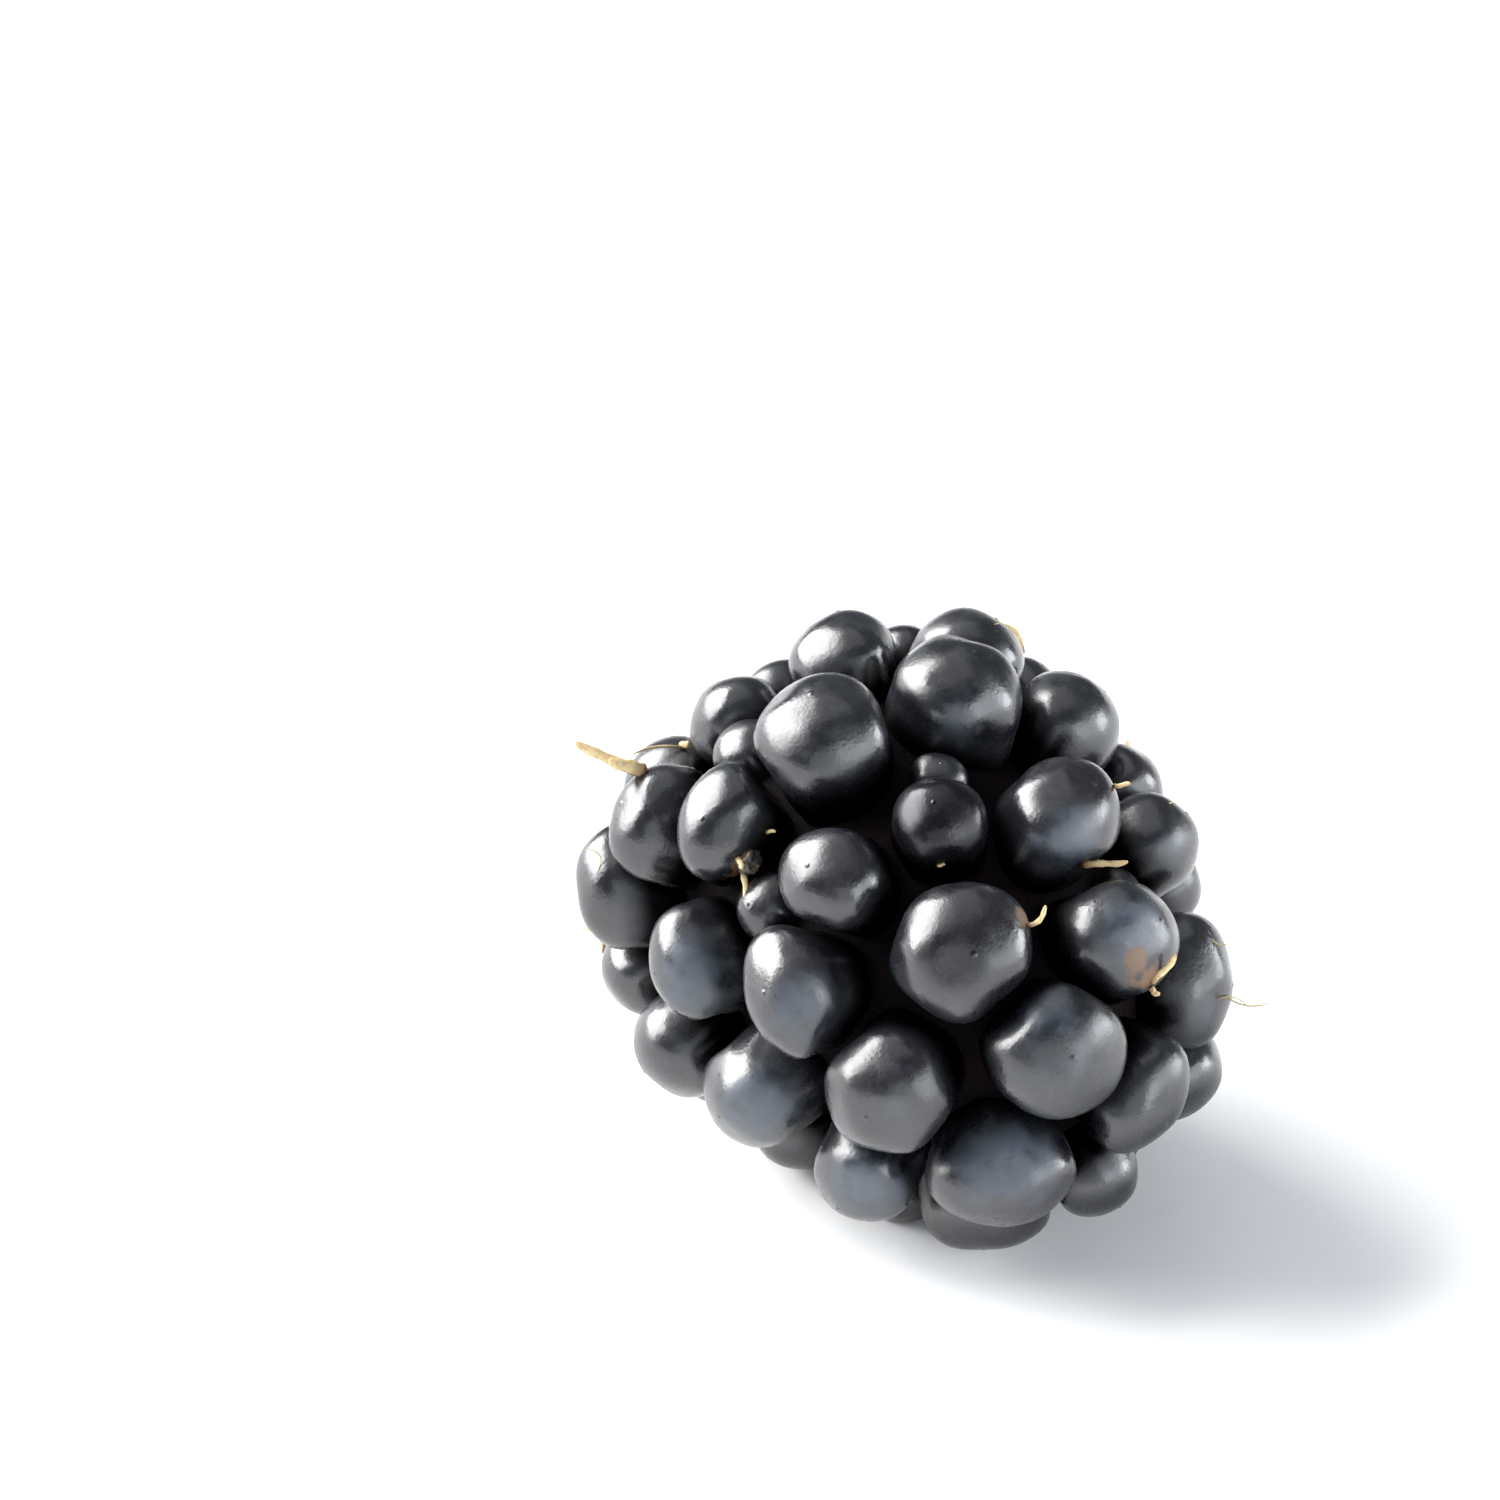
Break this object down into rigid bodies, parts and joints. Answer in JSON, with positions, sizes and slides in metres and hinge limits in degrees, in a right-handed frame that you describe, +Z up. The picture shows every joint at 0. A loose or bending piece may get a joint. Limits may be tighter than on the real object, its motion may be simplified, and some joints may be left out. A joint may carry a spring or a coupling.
{
  "type": "bramble berry",
  "caption": "Ripe bramble berry lying on its side: a rounded head of glossy near-black drupelets, open at the stem end on the pale end of its receptacle.",
  "frame": {"origin": "on the resting surface, under the centre of the berry's bounding box", "axes": "+X towards the rounded tip, which lies a little lower than the stem end; +Y to the berry's left as one looks towards the tip; +Z up"},
  "size_m": [0.0264, 0.0214, 0.021],
  "materials": {
    "drupelet_skin": "near-black, blue-violet tinged fruit skin with a satin gloss",
    "receptacle_flesh": "pale greenish-cream plant flesh, matt and finely fibrous"
  },
  "bodies": {
    "root": {"drupelets": "drupelet_skin", "receptacle": "receptacle_flesh"}
  },
  "joints": []
}
